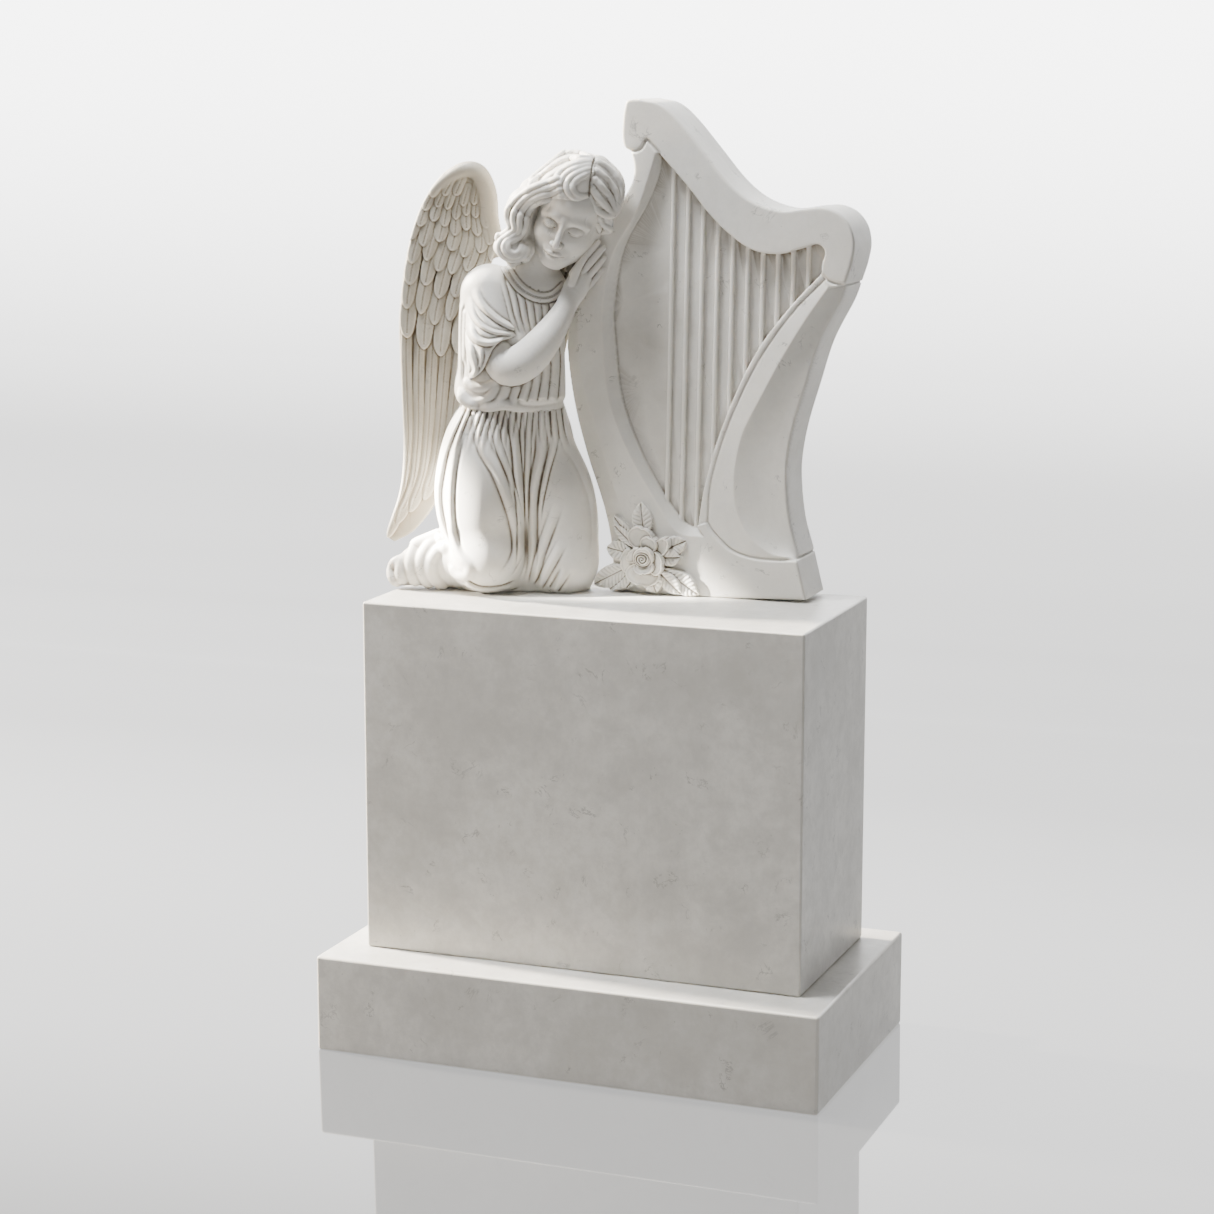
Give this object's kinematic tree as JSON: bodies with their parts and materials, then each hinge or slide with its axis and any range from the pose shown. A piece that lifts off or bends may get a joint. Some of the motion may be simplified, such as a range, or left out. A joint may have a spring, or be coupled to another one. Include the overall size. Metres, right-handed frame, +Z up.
{
  "type": "angel headstone",
  "caption": "Marble headstone: a kneeling angel leaning on a harp, with a rose at the harp's foot, carved to stand on a plain die and a base slab.",
  "frame": {"origin": "middle of the base slab's underside", "axes": "+Z up; the front, with the bare inscription face, looks along -Y; the harp stands on the +X side and the angel on the -X side"},
  "size_m": [0.86, 0.48, 1.5426],
  "materials": {
    "base_slab": "honed white marble with grey clouding",
    "die_block": "honed white marble with grey clouding",
    "angel_and_harp": "carved and rubbed white marble"
  },
  "bodies": {
    "root": {"base_slab": "base_slab", "die_block": "die_block", "angel_and_harp": "angel_and_harp"}
  },
  "joints": []
}
